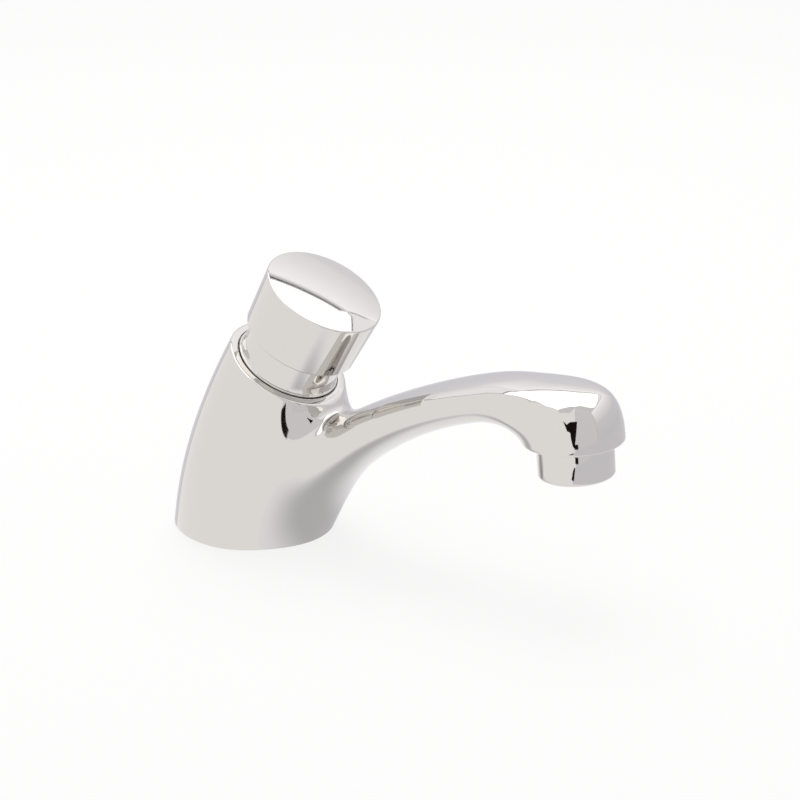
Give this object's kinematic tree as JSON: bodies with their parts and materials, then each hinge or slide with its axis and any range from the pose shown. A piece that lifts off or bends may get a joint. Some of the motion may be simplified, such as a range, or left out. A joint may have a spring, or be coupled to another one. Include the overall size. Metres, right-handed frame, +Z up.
{
  "type": "push timed tap",
  "caption": "Chromed self-closing basin tap: a leaning cast body with an arched spout and aerator, and a tilted push button over a timed valve.",
  "frame": {"origin": "middle of the foot, on the basin's surface", "axes": "+X along the spout, +Z up from the basin"},
  "size_m": [0.163, 0.0558, 0.0941],
  "materials": {
    "chrome": "polished",
    "seal_rubber": "matte",
    "brass": "turned",
    "acetal": "moulded",
    "stainless": "drawn",
    "grid_plastic": "moulded",
    "regulator_plastic": "moulded"
  },
  "bodies": {
    "tap": {"tap_body": "chrome", "base_seal": "seal_rubber", "neck_bezel": "chrome", "cartridge_body": "brass", "cartridge_cap": "acetal", "gland_seal": "seal_rubber", "guide_bush": "acetal", "shoulder_seal": "seal_rubber", "nose_seal": "seal_rubber", "inlet_strainer": "stainless", "return_spring": "stainless", "aerator_ring": "chrome", "aerator_washer": "seal_rubber", "aerator_insert": "grid_plastic", "flow_regulator": "regulator_plastic", "aerator_screen": "stainless"},
    "button": {"push_button": "chrome", "lock_nut": "brass", "spindle": "stainless", "timing_piston": "acetal", "lip_seal": "seal_rubber", "piston_clip": "stainless", "valve_holder": "brass", "valve_washer": "seal_rubber", "valve_nut": "brass"}
  },
  "joints": [
    {"name": "button_push", "type": "slide", "parent": "tap", "child": "button", "axis": [-0.4787, 0, -0.878], "range_m": [0, 0.007], "stiffness_N_per_m": 500, "springref_m": -0.012, "deforming": ["return_spring"]}
  ]
}
